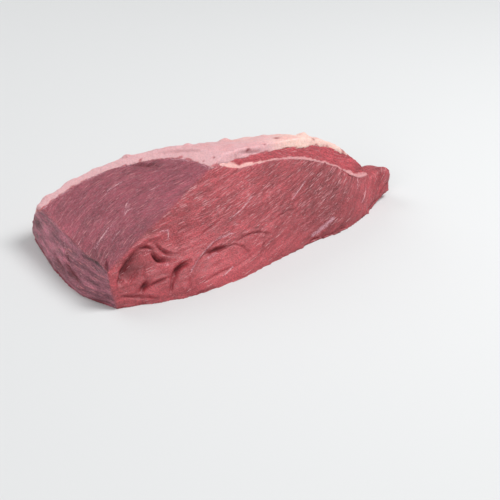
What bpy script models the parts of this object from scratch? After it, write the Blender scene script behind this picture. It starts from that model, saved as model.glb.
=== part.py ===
"""Raw beef roasting joint, resting on its flat underside.

A large lean muscle carries a smaller cap muscle. A seam of fat runs between the two, and a cover of
fat wraps the top and back. Three knife cuts trim the natural dome: a long front cut, a slanting
upper cut and an end cut. Run it with: blender --background --python part.py
"""
import math

import bmesh
import bpy
import numpy as np
from mathutils import noise

# Sizes are in metres. X runs along the front cut, Y towards the back and Z up, measured from the
# front left corner of the base. The finished solids are shifted so that the origin is mid-base.
MID_BASE = (0.1650, 0.0687)

# The natural outside of the joint: a dome of sections along X. Each is highest over the crown line,
# which runs slightly forwards towards the tail, and rounds off to the floor at the back.
CROWN_X = 0.150
CROWN_Y = 0.0195
CROWN_TURN = -0.11
CROWN_HEIGHT = ((-0.030, 0.070), (0.050, 0.0985), (0.120, 0.1005), (0.180, 0.0990), (0.330, 0.0990))
REACH_BACK = (
    (-0.030, 0.107), (0.050, 0.1365), (0.120, 0.1325), (0.180, 0.1115), (0.240, 0.0985), (0.300, 0.0620),
)
REACH_FRONT = 0.140
BACK_FULLNESS = 2.05
TOP_FULLNESS = 2.27
DOME_START = -0.035
TAIL_TAPER_START = 0.150
DOME_END = 0.3195
TAPER_FULLNESS = 2.28
NOSE_BLUNTNESS = 0.10
ROLL_HEIGHT = 0.008
ROLL_IN = 0.003
SECTIONS = 32
NOSE_SECTIONS = 9
NOSE_START = 0.262
FOOT_TURNS = (0.045, 0.090)
BACK_STEPS = 18
FRONT_STEPS = 5

# The inner domes go below the floor and past the ends of the outer one, so that they cut cleanly.
INNER_FOOT = -0.010
INNER_PAST_ENDS = 0.0015

# A low shoulder of fat near the right end of the crown, and the soft unevenness all over.
SHOULDER_PLACE = (0.266, 0.048)
SHOULDER_RISE = 0.0080
SHOULDER_SIZE = 0.024
SWELL = 0.0016
SWELL_SIZE = 0.045
SWELL_LONGER_BACK = 2
UPPER_SWELL_SHARE = 0.6

# Thickness of the fat cover along X. It feathers out towards the tail, and above the height of its
# lower edge, which rises from the floor at the end cut.
FAT_THICKNESS = (
    (-0.100, 0.0075), (0.080, 0.0080), (0.200, 0.0080), (0.260, 0.0065),
    (0.300, 0.0006), (0.315, -0.0030), (0.350, -0.0040),
)
FAT_EDGE_HEIGHT = ((-0.040, 0.034), (0.015, 0.030), (0.075, -0.014), (0.100, -0.030))
FAT_FEATHER = 0.009
LEAN_PROUD = -0.0012

# The seam between the muscles: height of its underside at the front cut, and its thickness, along X.
SEAM_HEIGHT = (
    (0.100, 0.1120), (0.132, 0.0950), (0.150, 0.0850), (0.183, 0.0810),
    (0.232, 0.0710), (0.274, 0.0510), (0.301, 0.0325), (0.318, 0.0310), (0.345, 0.0310),
)
SEAM_THICKNESS = (
    (0.100, 0.0100), (0.155, 0.0095), (0.172, 0.0055), (0.200, 0.0030), (0.270, 0.0030), (0.310, 0.0042),
)
SEAM_ALONG = (0.100, 0.350)
SEAM_DEEP = (-0.045, 0.190)
SEAM_FALL = 0.10
SEAM_FRONT_Y = 0.020

# The blunt tail of the main muscle, beyond the cap.
TAIL_CENTRE = (0.298, 0.012, 0.009)
TAIL_REACH = (0.044, 0.026, 0.0195)
TAIL_FULLNESS = 3.6
TAIL_SUBDIVISIONS = 4

# The front cut leans back, and its foot bows outwards between the two ends.
FRONT_LEAN = 0.258
FRONT_BOW = (
    (-0.03, -0.002), (0.000, 0.000), (0.027, 0.012), (0.055, 0.0225), (0.105, 0.0300),
    (0.165, 0.0265), (0.213, 0.0205), (0.252, 0.0235), (0.294, 0.0130), (0.323, 0.0005), (0.36, -0.006),
)
FRONT_BOW_HEIGHT = (
    (-0.02, 0.030), (0.060, 0.062), (0.132, 0.095), (0.232, 0.080), (0.300, 0.050), (0.345, 0.030),
)
FRONT_BOW_POWER = 1.25

# The upper cut is a slanting plane: its height at the corner and its rise along X and Y.
UPPER_HEIGHT = 0.0370
UPPER_RISE_X = 0.4437
UPPER_RISE_Y = -0.0236

# The end cut: where its foot and its top edge stand, along Y.
END_FOOT = (
    (-0.03, 0.006), (0.000, 0.000), (0.025, -0.0080), (0.055, -0.0125),
    (0.096, -0.0050), (0.162, 0.0140), (0.22, 0.034),
)
END_TOP = (
    (-0.030, -0.0120), (-0.003, -0.0062), (0.017, -0.0012), (0.055, 0.0016),
    (0.1075, 0.0090), (0.146, 0.0146), (0.220, 0.0280),
)
END_FOOT_HEIGHT = 0.004
END_TOP_HEIGHT = 0.038

# Touching pieces keep this gap.
GAP = 0.0003

# The knives reach well past the joint. Their cut surfaces are grids of this step.
CUT_STEP = 0.0085
KNIFE_REACH = 0.060
KNIFE_HEIGHTS = (-0.012, 0.125)
FRONT_KNIFE_X = (-KNIFE_REACH, 0.36)
UPPER_KNIFE_X = (-KNIFE_REACH, 0.24)
UPPER_KNIFE_Y = (-0.18, 0.22)
END_KNIFE_Y = (-0.12, 0.22)
ABOVE_ALL = 0.30
FLOOR_X = (-0.30, 0.50)
FLOOR_Y = (-0.30, 0.30)
FLOOR_DEPTH = 0.10

# Edges sharper than this, in degrees, are not shaded smooth.
SHARP_ANGLE = 40


def smooth_step(share):
    return share * share * (3 - 2 * share)


def curve_through(stations, at):
    """Smooth curve through a few (place, value) stations, with flat ends."""
    places, values = (np.array(column) for column in zip(*stations))
    slopes = np.gradient(values, places)
    at = np.clip(np.asarray(at, float), places[0], places[-1])
    left = np.clip(np.searchsorted(places, at) - 1, 0, len(places) - 2)
    width = places[left + 1] - places[left]
    t = (at - places[left]) / width
    rise = smooth_step(t)
    return (
        values[left] * (1 - rise)
        + values[left + 1] * rise
        + width * slopes[left] * t * (1 - t) ** 2
        - width * slopes[left + 1] * t * t * (1 - t)
    )


def swell(x, y, z):
    """Low, wide unevenness of soft meat."""
    return SWELL * noise.noise((x / SWELL_SIZE, y / SWELL_SIZE, z / SWELL_SIZE))


def dome_point(x, turn, inset_at, foot):
    """Point of the section at x, moved inwards by inset_at(x, z). turn runs from the back over the crown."""
    taper = max(0, (x - TAIL_TAPER_START) / (DOME_END - TAIL_TAPER_START))
    taper = max((1 - min(taper, 1) ** TAPER_FULLNESS) ** (1 / TAPER_FULLNESS), NOSE_BLUNTNESS)
    out = math.copysign(abs(math.cos(turn)) ** (2 / BACK_FULLNESS), math.cos(turn))
    up = math.sin(turn) ** (2 / TOP_FULLNESS)
    height = float(curve_through(CROWN_HEIGHT, x)) * taper
    inset = inset_at(x, height * up)
    reach = float(curve_through(REACH_BACK, x)) * taper if out > 0 else REACH_FRONT
    y = CROWN_Y + CROWN_TURN * (x - CROWN_X) + (reach - inset) * out
    z = (height - inset) * up
    away = ((x - SHOULDER_PLACE[0]) ** 2 + (y - SHOULDER_PLACE[1]) ** 2) / SHOULDER_SIZE**2
    z += SHOULDER_RISE * math.exp(-away) * up
    bulge = swell(x, y / SWELL_LONGER_BACK, 0)
    y += bulge * out
    z += bulge * up
    if z < ROLL_HEIGHT:
        y -= ROLL_IN * out * (1 - max(z, 0) / ROLL_HEIGHT) ** 2
    return (x, y, foot if turn in (0, math.pi) else z)


def solid_from(name, points, faces):
    """Mesh object with its faces turned outwards and its origin moved to mid-base."""
    mesh = bpy.data.meshes.new(name)
    moved = np.array(points, float) - (MID_BASE[0], MID_BASE[1], 0)
    mesh.from_pydata(moved.tolist(), [], faces)
    work = bmesh.new()
    work.from_mesh(mesh)
    bmesh.ops.recalc_face_normals(work, faces=work.faces)
    work.to_mesh(mesh)
    work.free()
    solid = bpy.data.objects.new(name, mesh)
    bpy.context.scene.collection.objects.link(solid)
    return solid


def strip_triangles(lower, upper):
    """Triangles between two rows of point numbers, all split along the same diagonal."""
    faces = []
    for step in range(len(lower) - 1):
        faces.append((lower[step], lower[step + 1], upper[step + 1]))
        faces.append((lower[step], upper[step + 1], upper[step]))
    return faces


def grid_triangles(rows, columns, start=0):
    faces = []
    for row in range(rows - 1):
        first = start + row * columns
        faces += strip_triangles(range(first, first + columns), range(first + columns, first + 2 * columns))
    return faces


def dome(name, inset_at, foot, past_ends=0.0):
    """Closed dome with a flat base at the height foot, inset_at(x, z) inside the natural surface."""
    nose_length = DOME_END + past_ends - NOSE_START
    nose = NOSE_START + nose_length * np.sin(np.linspace(0, math.pi / 2, NOSE_SECTIONS))
    places = [*np.linspace(DOME_START - past_ends, NOSE_START, SECTIONS), *nose[1:]]
    turns = [0.0, *FOOT_TURNS]
    turns += list(np.linspace(FOOT_TURNS[-1], math.pi / 2, BACK_STEPS))[1:]
    turns += list(np.linspace(math.pi / 2, math.pi, FRONT_STEPS))[1:-1] + [math.pi]
    points = [dome_point(x, turn, inset_at, foot) for x in places for turn in turns]
    count = len(turns)
    faces = [tuple(range(count)), tuple(range(len(points) - count, len(points)))]
    for ring in range(len(places) - 1):
        lower = [ring * count + step % count for step in range(count + 1)]
        faces += strip_triangles(lower, [index + count for index in lower])
    return solid_from(name, points, faces)


def inner_dome(name, inset_at):
    return dome(name, inset_at, INNER_FOOT, INNER_PAST_ENDS)


def block_behind(name, surface, far, first, second):
    """Closed block between the curved sheet surface(u, v) and its border moved to far(point)."""
    rows, columns = len(first), len(second)
    points = [np.array(surface(u, v), float) for u in first for v in second]
    faces = grid_triangles(rows, columns)
    border = list(range(columns))
    border += [r * columns + columns - 1 for r in range(1, rows)]
    border += [(rows - 1) * columns + c for c in range(columns - 2, -1, -1)]
    border += [r * columns for r in range(rows - 2, 0, -1)]
    start = len(points)
    points += [np.array(far(points[index]), float) for index in border]
    count = len(border)
    for step in range(count):
        following = (step + 1) % count
        faces.append((border[step], border[following], start + following, start + step))
    faces.append(tuple(range(start, start + count)))
    return solid_from(name, points, faces)


def stretch(low, high):
    """Evenly spaced places, about one cut step apart."""
    return np.linspace(low, high, max(2, round((high - low) / CUT_STEP) + 1))


def front_y(x, z):
    """Where the front cut stands at a place along it and a height."""
    above = min(max(1 - z / float(curve_through(FRONT_BOW_HEIGHT, x)), 0), 1)
    return FRONT_LEAN * z - float(curve_through(FRONT_BOW, x)) * above**FRONT_BOW_POWER + swell(x, 0, z)


def front_knife():
    return block_behind(
        "front_knife",
        lambda x, z: (x, front_y(x, z), z),
        lambda point: (point[0], -REACH_FRONT - KNIFE_REACH, point[2]),
        stretch(*FRONT_KNIFE_X),
        stretch(*KNIFE_HEIGHTS),
    )


def upper_z(x, y):
    return UPPER_HEIGHT + UPPER_RISE_X * x + UPPER_RISE_Y * y + UPPER_SWELL_SHARE * swell(x, y, 0)


def upper_knife():
    return block_behind(
        "upper_knife",
        lambda x, y: (x, y, upper_z(x, y)),
        lambda point: (point[0], point[1], ABOVE_ALL),
        stretch(*UPPER_KNIFE_X),
        stretch(*UPPER_KNIFE_Y),
    )


def end_x(y, z):
    foot = float(curve_through(END_FOOT, y))
    top = float(curve_through(END_TOP, y))
    share = min(max((z - END_FOOT_HEIGHT) / (END_TOP_HEIGHT - END_FOOT_HEIGHT), 0), 1)
    return foot + (top - foot) * smooth_step(share) + swell(0, y, z)


def end_knife():
    return block_behind(
        "end_knife",
        lambda y, z: (end_x(y, z), y, z),
        lambda point: (DOME_START - KNIFE_REACH, point[1], point[2]),
        stretch(*END_KNIFE_Y),
        stretch(*KNIFE_HEIGHTS),
    )


def seam_z(x, y, lift):
    """Height of the seam's underside, raised by lift thicknesses."""
    height = float(curve_through(SEAM_HEIGHT, x)) + lift * float(curve_through(SEAM_THICKNESS, x))
    return height - SEAM_FALL * (y - SEAM_FRONT_Y)


def seam_block(name, lift, rise):
    """Everything above the seam's surface, raised by lift thicknesses and a gap."""
    return block_behind(
        name,
        lambda x, y: (x, y, seam_z(x, y, lift) + rise),
        lambda point: (point[0], point[1], ABOVE_ALL),
        stretch(*SEAM_ALONG),
        stretch(*SEAM_DEEP),
    )


def seam_band():
    """The seam's full width, to be trimmed by the dome and the knives."""
    along, deep = stretch(*SEAM_ALONG), stretch(*SEAM_DEEP)
    low = [(x, y, seam_z(x, y, 0)) for x in along for y in deep]
    high = [(x, y, seam_z(x, y, 1)) for x in along for y in deep]
    rows, columns, count = len(along), len(deep), len(low)
    faces = grid_triangles(rows, columns) + grid_triangles(rows, columns, count)
    for edge in (
        range(columns),
        range(count - columns, count),
        range(0, count, columns),
        range(columns - 1, count, columns),
    ):
        faces += strip_triangles(edge, [index + count for index in edge])
    return solid_from("fat_seam", low + high, faces)


def tail_lobe(name, grown):
    """Blunt superellipsoid that carries the main muscle past the cap."""
    work = bmesh.new()
    bmesh.ops.create_icosphere(work, subdivisions=TAIL_SUBDIVISIONS, radius=1)
    for vertex in work.verts:
        size = sum(abs(part) ** TAIL_FULLNESS for part in vertex.co) ** (1 / TAIL_FULLNESS)
        vertex.co = [
            part / size * (reach + grown) + centre
            for part, reach, centre in zip(vertex.co, TAIL_REACH, TAIL_CENTRE)
        ]
    points = [tuple(vertex.co) for vertex in work.verts]
    faces = [tuple(vertex.index for vertex in face.verts) for face in work.faces]
    work.free()
    return solid_from(name, points, faces)


def floor_block():
    """Everything under the resting plane."""
    return block_behind(
        "floor_block",
        lambda x, y: (x, y, 0),
        lambda point: (point[0], point[1], -FLOOR_DEPTH),
        FLOOR_X,
        FLOOR_Y,
    )


def guide(solid):
    """Marks a solid as a cutter or guide that isn't part of the joint."""
    solid.hide_render = True
    solid.display_type = "WIRE"
    return solid


def combine(solid, operation, other):
    modifier = solid.modifiers.new(other.name, "BOOLEAN")
    modifier.operation = operation
    modifier.object = other
    modifier.solver = "EXACT"


def finish(name, colour, roughness):
    material = bpy.data.materials.new(name)
    material.use_nodes = True
    shader = material.node_tree.nodes["Principled BSDF"]
    shader.inputs["Base Color"].default_value = (*colour, 1)
    shader.inputs["Roughness"].default_value = roughness
    shader.inputs["Metallic"].default_value = 0
    return material


def fat_at(x, z):
    """Thickness of the fat cover. It is negative where the lean stands bare."""
    share = min((z - float(curve_through(FAT_EDGE_HEIGHT, x))) / FAT_FEATHER, 1)
    thickness = float(curve_through(FAT_THICKNESS, x))
    return max(thickness * share, LEAN_PROUD) if share < 1 else thickness


def under_fat(x, z):
    return fat_at(x, z) - GAP / 2


def over_lean(x, z):
    return fat_at(x, z) + GAP / 2


def main():
    for old in list(bpy.data.objects):
        bpy.data.objects.remove(old, do_unlink=True)

    knives = [guide(front_knife()), guide(upper_knife()), guide(end_knife())]
    floor = guide(floor_block())
    inside = guide(inner_dome("inside_of_fat", under_fat))
    lean = guide(inner_dome("outside_of_lean", over_lean))
    over_main = guide(seam_block("over_main", 0, -GAP))
    over_seam = guide(seam_block("over_seam", 1, GAP))
    tail = guide(tail_lobe("tail_lobe", 0))
    tail_room = guide(tail_lobe("tail_room", GAP))

    cover = dome("fat_cover", lambda x, z: 0.0, 0.0)
    combine(cover, "DIFFERENCE", inside)
    combine(cover, "DIFFERENCE", tail_room)

    main_muscle = inner_dome("main_muscle", over_lean)
    combine(main_muscle, "UNION", tail)
    combine(main_muscle, "DIFFERENCE", over_main)
    combine(main_muscle, "DIFFERENCE", floor)

    cap_muscle = inner_dome("cap_muscle", over_lean)
    combine(cap_muscle, "INTERSECT", over_seam)
    combine(cap_muscle, "DIFFERENCE", tail_room)
    combine(cap_muscle, "DIFFERENCE", floor)

    seam = seam_band()
    combine(seam, "INTERSECT", lean)
    combine(seam, "DIFFERENCE", tail_room)
    combine(seam, "DIFFERENCE", floor)

    looks = {
        cover: ((0.80, 0.53, 0.54), 0.50),
        seam: ((0.80, 0.42, 0.36), 0.50),
        cap_muscle: ((0.50, 0.135, 0.155), 0.55),
        main_muscle: ((0.42, 0.105, 0.125), 0.55),
    }
    for solid, (colour, roughness) in looks.items():
        for knife in knives:
            combine(solid, "DIFFERENCE", knife)
        solid.data.materials.append(finish(solid.name, colour, roughness))
        solid.data.shade_smooth()
        solid.data.set_sharp_from_angle(angle=math.radians(SHARP_ANGLE))


main()
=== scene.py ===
import math

import bmesh
import bpy
import numpy as np
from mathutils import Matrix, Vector
from mathutils.bvhtree import BVHTree


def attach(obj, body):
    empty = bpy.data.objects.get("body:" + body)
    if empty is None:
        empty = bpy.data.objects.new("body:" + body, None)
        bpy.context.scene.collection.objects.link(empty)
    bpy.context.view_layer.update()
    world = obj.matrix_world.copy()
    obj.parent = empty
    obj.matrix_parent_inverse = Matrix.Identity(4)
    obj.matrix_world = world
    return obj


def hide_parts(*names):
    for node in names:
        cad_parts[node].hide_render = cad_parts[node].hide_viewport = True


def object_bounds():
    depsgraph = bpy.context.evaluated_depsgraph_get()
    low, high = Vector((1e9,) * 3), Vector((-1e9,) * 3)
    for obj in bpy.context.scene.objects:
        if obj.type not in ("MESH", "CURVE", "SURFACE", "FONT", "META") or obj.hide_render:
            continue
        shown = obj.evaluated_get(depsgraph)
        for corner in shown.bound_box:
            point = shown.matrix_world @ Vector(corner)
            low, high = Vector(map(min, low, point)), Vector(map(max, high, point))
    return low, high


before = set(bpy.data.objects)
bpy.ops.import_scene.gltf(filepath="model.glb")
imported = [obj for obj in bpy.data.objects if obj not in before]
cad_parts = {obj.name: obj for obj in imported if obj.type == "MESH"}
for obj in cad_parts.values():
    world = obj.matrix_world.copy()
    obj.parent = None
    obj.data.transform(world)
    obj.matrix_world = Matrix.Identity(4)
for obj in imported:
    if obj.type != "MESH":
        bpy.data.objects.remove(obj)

# A raw beef joint. Each piece starts from its solid, gets a fine even surface, and is then worked:
# fibres, creases, lumps and ragged fat. Places are shares of the joint's own box, and sizes are metres.
cadBox = [list(corner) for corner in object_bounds()]
lowCorner = np.array(cadBox[0])
sideLengths = np.array(cadBox[1]) - lowCorner

frontNormal = (0.0, -0.87, 0.49)
upperNormal = (-0.41, 0.02, 0.91)
endNormal = (-1.0, 0.0, 0.0)

# How each cut is looked at: the two sides of the box that give a place on it, and the way in.
cutViews = {
    "front": (0, 2, (0.0, 1.0, 0.0)),
    "upper": (0, 1, (0.0, 0.0, -1.0)),
    "end": (1, 2, (1.0, 0.0, 0.0)),
}

stroke = {
    "leg": 0.007,        # about how long each straight part of a path is
    "outside": 1.0,      # how far off a line onto the joint starts
}

contact = {
    "grow": 0.0009,        # how far touching pieces reach into each other, so that no gap shows
    "gap": 0.0006,         # surfaces nearer than this touch
    "facing": -0.7,
    "merge": 0.00002,
}


def treeOf(mesh):
    return BVHTree.FromPolygons([v.co for v in mesh.vertices], [tuple(f.vertices) for f in mesh.polygons])


nodeTrees = {name: treeOf(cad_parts[name].data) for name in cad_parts}


def land(cut, first, second):
    # where a line straight in, at two shares of the joint's box, first meets the joint
    firstSide, secondSide, inward = cutViews[cut]
    start = -stroke["outside"] * np.array(inward)
    start[firstSide] = lowCorner[firstSide] + sideLengths[firstSide] * first
    start[secondSide] = lowCorner[secondSide] + sideLengths[secondSide] * second
    hits = [tree.ray_cast(Vector(start), Vector(inward)) for tree in nodeTrees.values()]
    reached = [(hit[3], tuple(hit[0])) for hit in hits if hit[0] is not None]
    return np.array(min(reached)[1]) if reached else None


def trace(cut, start, heading, length, bend):
    # a stroke's path on the joint: it turns evenly by its bend, and stops where it leaves the joint
    firstSide, secondSide, inward = cutViews[cut]
    first, second = start
    legs = max(2, round(length / stroke["leg"]))
    path = [land(cut, first, second)]
    for leg in range(legs):
        angle = math.radians(heading + bend * (leg + 0.5) / legs)
        first += length / legs * math.cos(angle) / sideLengths[firstSide]
        second += length / legs * math.sin(angle) / sideLengths[secondSide]
        path.append(land(cut, first, second))
    return np.array([place for place in path if place is not None])


def laid(strokes):
    # the path of every stroke, with the sizes that follow it
    return [
        (trace(cut, start, heading, length, bend), *sizes)
        for cut, rows in strokes.items()
        for start, heading, length, bend, *sizes in rows
    ]


def seated(spots):
    # the place of every spot, with the sizes that follow it
    return [(land(cut, *at), *sizes) for cut, rows in spots.items() for at, *sizes in rows]


def smoothStep(value, low, high):
    share = np.clip((value - low) / (high - low), 0, 1)
    return share * share * (3 - 2 * share)


def softNoise(points, size, seed):
    # smooth noise from -1 to 1, on a lattice that repeats every 32 cells
    cells = 32
    lattice = np.random.default_rng(seed).random((cells, cells, cells)) * 2 - 1
    at = points / np.array(size)
    cell = np.floor(at).astype(int)
    part = smoothStep(at - cell, 0, 1)
    total = np.zeros(len(points))
    for corner in range(8):
        step = np.array([(corner >> axis) & 1 for axis in range(3)])
        share = np.prod(np.where(step, part, 1 - part), axis=1)
        where = (cell + step) % cells
        total += share * lattice[where[:, 0], where[:, 1], where[:, 2]]
    return total


def along(points, path):
    # distance of each point to a path, the share of the path that it is at, and the nearest place
    best = np.full(len(points), 1e9)
    share = np.zeros(len(points))
    nearest = np.zeros_like(points)
    count = len(path) - 1
    for leg in range(count):
        line = path[leg + 1] - path[leg]
        t = np.clip((points - path[leg]) @ line / (line @ line), 0, 1)
        foot = path[leg] + t[:, None] * line
        away = np.linalg.norm(points - foot, axis=1)
        closer = away < best
        best[closer] = away[closer]
        share[closer] = (leg + t[closer]) / count
        nearest[closer] = foot[closer]
    return best, share, nearest


def growContacts(work, neighbours):
    # the faces that touch a neighbour move into it, and the cut faces beside them stay in their plane
    touching = set()
    for face in work.faces:
        centre = face.calc_center_median()
        for tree in neighbours:
            found = tree.find_nearest(centre, contact["gap"])
            if found[0] is not None and face.normal.dot(found[1]) < contact["facing"]:
                touching.add(face)
    moves = {}
    for vertex in work.verts:
        inner = [face.normal for face in vertex.link_faces if face in touching]
        outer = [face.normal for face in vertex.link_faces if face not in touching]
        if not inner:
            continue
        push = sum(inner, Vector()).normalized()
        if outer:
            side = sum(outer, Vector()).normalized()
            push = push - push.dot(side) * side
        moves[vertex] = push.normalized() * contact["grow"]
    for vertex, move in moves.items():
        vertex.co += move


def fineCopy(node, name, voxel):
    work = bmesh.new()
    work.from_mesh(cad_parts[node].data)
    bmesh.ops.remove_doubles(work, verts=work.verts, dist=contact["merge"])
    work.normal_update()
    growContacts(work, [tree for other, tree in nodeTrees.items() if other != node])
    mesh = bpy.data.meshes.new(name)
    work.to_mesh(mesh)
    work.free()
    piece = bpy.data.objects.new(name, mesh)
    bpy.context.scene.collection.objects.link(piece)
    remesh = piece.modifiers.new("fineSurface", "REMESH")
    remesh.mode = "VOXEL"
    remesh.voxel_size = voxel
    ease = piece.modifiers.new("ease", "SMOOTH")
    ease.factor = 0.5
    ease.iterations = 2
    plain(piece)
    print(name, len(piece.data.polygons), "faces")
    return piece


def plain(piece):
    # the modifiers' result becomes the piece's own mesh
    shown = piece.evaluated_get(bpy.context.evaluated_depsgraph_get())
    mesh = bpy.data.meshes.new_from_object(shown)
    piece.modifiers.clear()
    piece.data = mesh
    mesh.shade_smooth()


def pointsOf(piece):
    flat = np.zeros(len(piece.data.vertices) * 3, np.float32)
    piece.data.vertices.foreach_get("co", flat)
    return flat.reshape(-1, 3).astype(float)


def normalsOf(piece):
    flat = np.zeros(len(piece.data.vertices) * 3, np.float32)
    piece.data.vertex_normals.foreach_get("vector", flat)
    return flat.reshape(-1, 3).astype(float)


def setPoints(piece, points):
    points[:, 2] = np.maximum(points[:, 2], 0)
    piece.data.vertices.foreach_set("co", points.astype(np.float32).ravel())
    piece.data.update()


def keep(piece, name, values):
    kind, key = ("FLOAT_VECTOR", "vector") if values.ndim == 2 else ("FLOAT", "value")
    attribute = piece.data.attributes.new(name, kind, "POINT")
    attribute.data.foreach_set(key, values.astype(np.float32).ravel())


def faceShares(normals):
    front = smoothStep(normals @ np.array(frontNormal), 0.55, 0.80)
    upper = smoothStep(normals @ np.array(upperNormal), 0.90, 0.975)
    end = smoothStep(normals @ np.array(endNormal), 0.60, 0.85)
    return front, upper, end


# Fibres of the lean: their slope at shares of the length, upward on the front cut and back on the upper cut.
frontSlopes = ((0.0, 0.04), (0.25, 0.12), (0.50, 0.20), (0.70, 0.26), (0.80, 0.42), (0.90, 0.95), (1.0, 1.7))
upperSlopes = ((0.0, 0.60), (0.07, 0.42), (0.20, -0.18), (0.27, -0.45), (0.45, -0.60))


def flow(x, slopes):
    # how far the fibre that starts at the low corner has moved off, and its slope there
    shares = np.linspace(0, 1, 101)
    slope = np.interp(shares, *zip(*slopes))
    moved = np.concatenate([[0], np.cumsum((slope[1:] + slope[:-1]) / 2)]) * sideLengths[0] / 100
    at = (x - lowCorner[0]) / sideLengths[0]
    return np.interp(at, shares, moved), np.interp(at, shares, slope)


def grainOf(points, upper, end):
    # place along the fibre, across it, and through the depth: each cut has its own frame
    x, y, z = points.T
    flat = np.zeros_like(x)
    rise, climb = flow(x, frontSlopes)
    turn, bend = flow(x, upperSlopes)
    grain = np.stack([x, z - rise, y * 0.4], 1)
    direction = np.stack([flat + 1, flat, climb], 1)
    onUpper = (upper > 0.5)[:, None]
    onEnd = (end > 0.5)[:, None]
    grain = np.where(onUpper, np.stack([x, y - turn, z * 0.2], 1), grain)
    direction = np.where(onUpper, np.stack([flat + 1, bend, flat + 0.44], 1), direction)
    grain = np.where(onEnd, np.stack([y, z, x], 1), grain)
    direction = np.where(onEnd, (0.0, 1.0, 0.04), direction)
    return grain, direction


def tangent(direction, normals):
    flat = direction - (direction * normals).sum(1)[:, None] * normals
    return flat / np.maximum(np.linalg.norm(flat, axis=1), 1e-6)[:, None]


def refine(piece, strokes, reach):
    # the surface gets twice as fine beside the paths
    points = pointsOf(piece)
    near = np.zeros(len(points), bool)
    for path, *sizes in laid(strokes):
        near |= along(points, path)[0] < reach
    work = bmesh.new()
    work.from_mesh(piece.data)
    edges = [edge for edge in work.edges if near[edge.verts[0].index] and near[edge.verts[1].index]]
    bmesh.ops.subdivide_edges(work, edges=edges, cuts=1, use_grid_fill=True)
    work.to_mesh(piece.data)
    work.free()
    piece.data.shade_smooth()


def thinHidden(piece, most, depth):
    # only the faces that the fat or the floor hides get fewer
    points, normals = pointsOf(piece), normalsOf(piece)
    hidden = distances(points, "fat_cover", 2 * depth) < depth
    hidden |= (points[:, 2] < depth) & (normals[:, 2] < -0.9)
    group = piece.vertex_groups.new(name="hidden")
    group.add(np.flatnonzero(hidden).tolist(), 1.0, "REPLACE")
    fewer = piece.modifiers.new("fewer", "DECIMATE")
    fewer.ratio = most / sum(len(face.vertices) - 2 for face in piece.data.polygons)
    fewer.vertex_group = group.name
    plain(piece)
    piece.vertex_groups.clear()


def spread(piece, values, rounds):
    # each round takes the mean of the neighbours, which blurs a mask
    ends = np.zeros(len(piece.data.edges) * 2, np.int32)
    piece.data.edges.foreach_get("vertices", ends)
    first, second = ends.reshape(-1, 2).T
    count = np.bincount(ends, minlength=len(values)).clip(1)
    for turn in range(rounds):
        total = np.bincount(first, values[second], len(values))
        total += np.bincount(second, values[first], len(values))
        values = 0.5 * values + 0.5 * total / count
    return values


def distances(points, node, reach):
    found = [nodeTrees[node].find_nearest(Vector(point), reach) for point in points]
    return np.array([reach if hit[3] is None else hit[3] for hit in found])


def fold(points, strokes):
    # how far the folds push the surface out or in, and how deep in one each point lies
    push = np.zeros(len(points))
    hollow = np.zeros(len(points))
    for path, width, depth, lip in laid(strokes):
        distance, share, nearest = along(points, path)
        wander = 1 + 0.35 * softNoise(points, 0.004, 50)
        ends = np.sin(np.clip(share, 0.03, 0.97) * math.pi) ** 0.5
        groove = np.exp(-(distance * wander / width) ** 2) * ends
        above = smoothStep(points[:, 2] - nearest[:, 2], 0, width)
        ridge = np.exp(-((distance - 2.0 * width) / (1.0 * width)) ** 2) * ends * above
        push += lip * ridge - depth * groove
        hollow = np.maximum(hollow, groove ** 1.5 * min(depth / 0.004, 1))
    return push, hollow


mainMuscle = {
    "voxel": 0.00118,
    "lumps": 0.0010, "lumpSize": 0.021,
    "knobs": 0.0006, "knobSize": 0.008,
    "fibres": 0.00050, "fibreSize": (0.016, 0.0023, 0.004),
    "cutFibres": 0.00026, "cutFibreSize": (0.011, 0.0022, 0.004),
    "endGrooves": 0.00090, "endGrooveSize": (0.022, 0.0024, 0.004),
    "footTuck": 0.0026, "footHeight": 0.008, "footNoise": 0.0020, "footNoiseSize": 0.009,
    "puckerPlace": ("front", 0.15, 0.20), "puckerReach": 0.034,
    "puckerLumps": 1.2, "puckerKnobs": 1.2,
    "frontStreaks": 0.10, "endStreaks": 0.60, "streakSize": (0.020, 0.0019, 0.004),
    "tailLift": 0.0068, "tailStart": 0.92,
    "fineReach": 0.0045,
    "mostTriangles": 190000, "hiddenDepth": 0.0012,
    "fatReach": 0.006, "coverSmear": 0.95, "seamSmear": 0.55,
    "veinSmear": 0.75, "veinHalo": 0.0004,
}

# A stroke starts at two shares of the box, seen straight onto its cut. Its heading and bend are degrees, and
# heading 0 runs along the cut: to the tail, or on the end cut to the back. The length comes between them.

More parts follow.
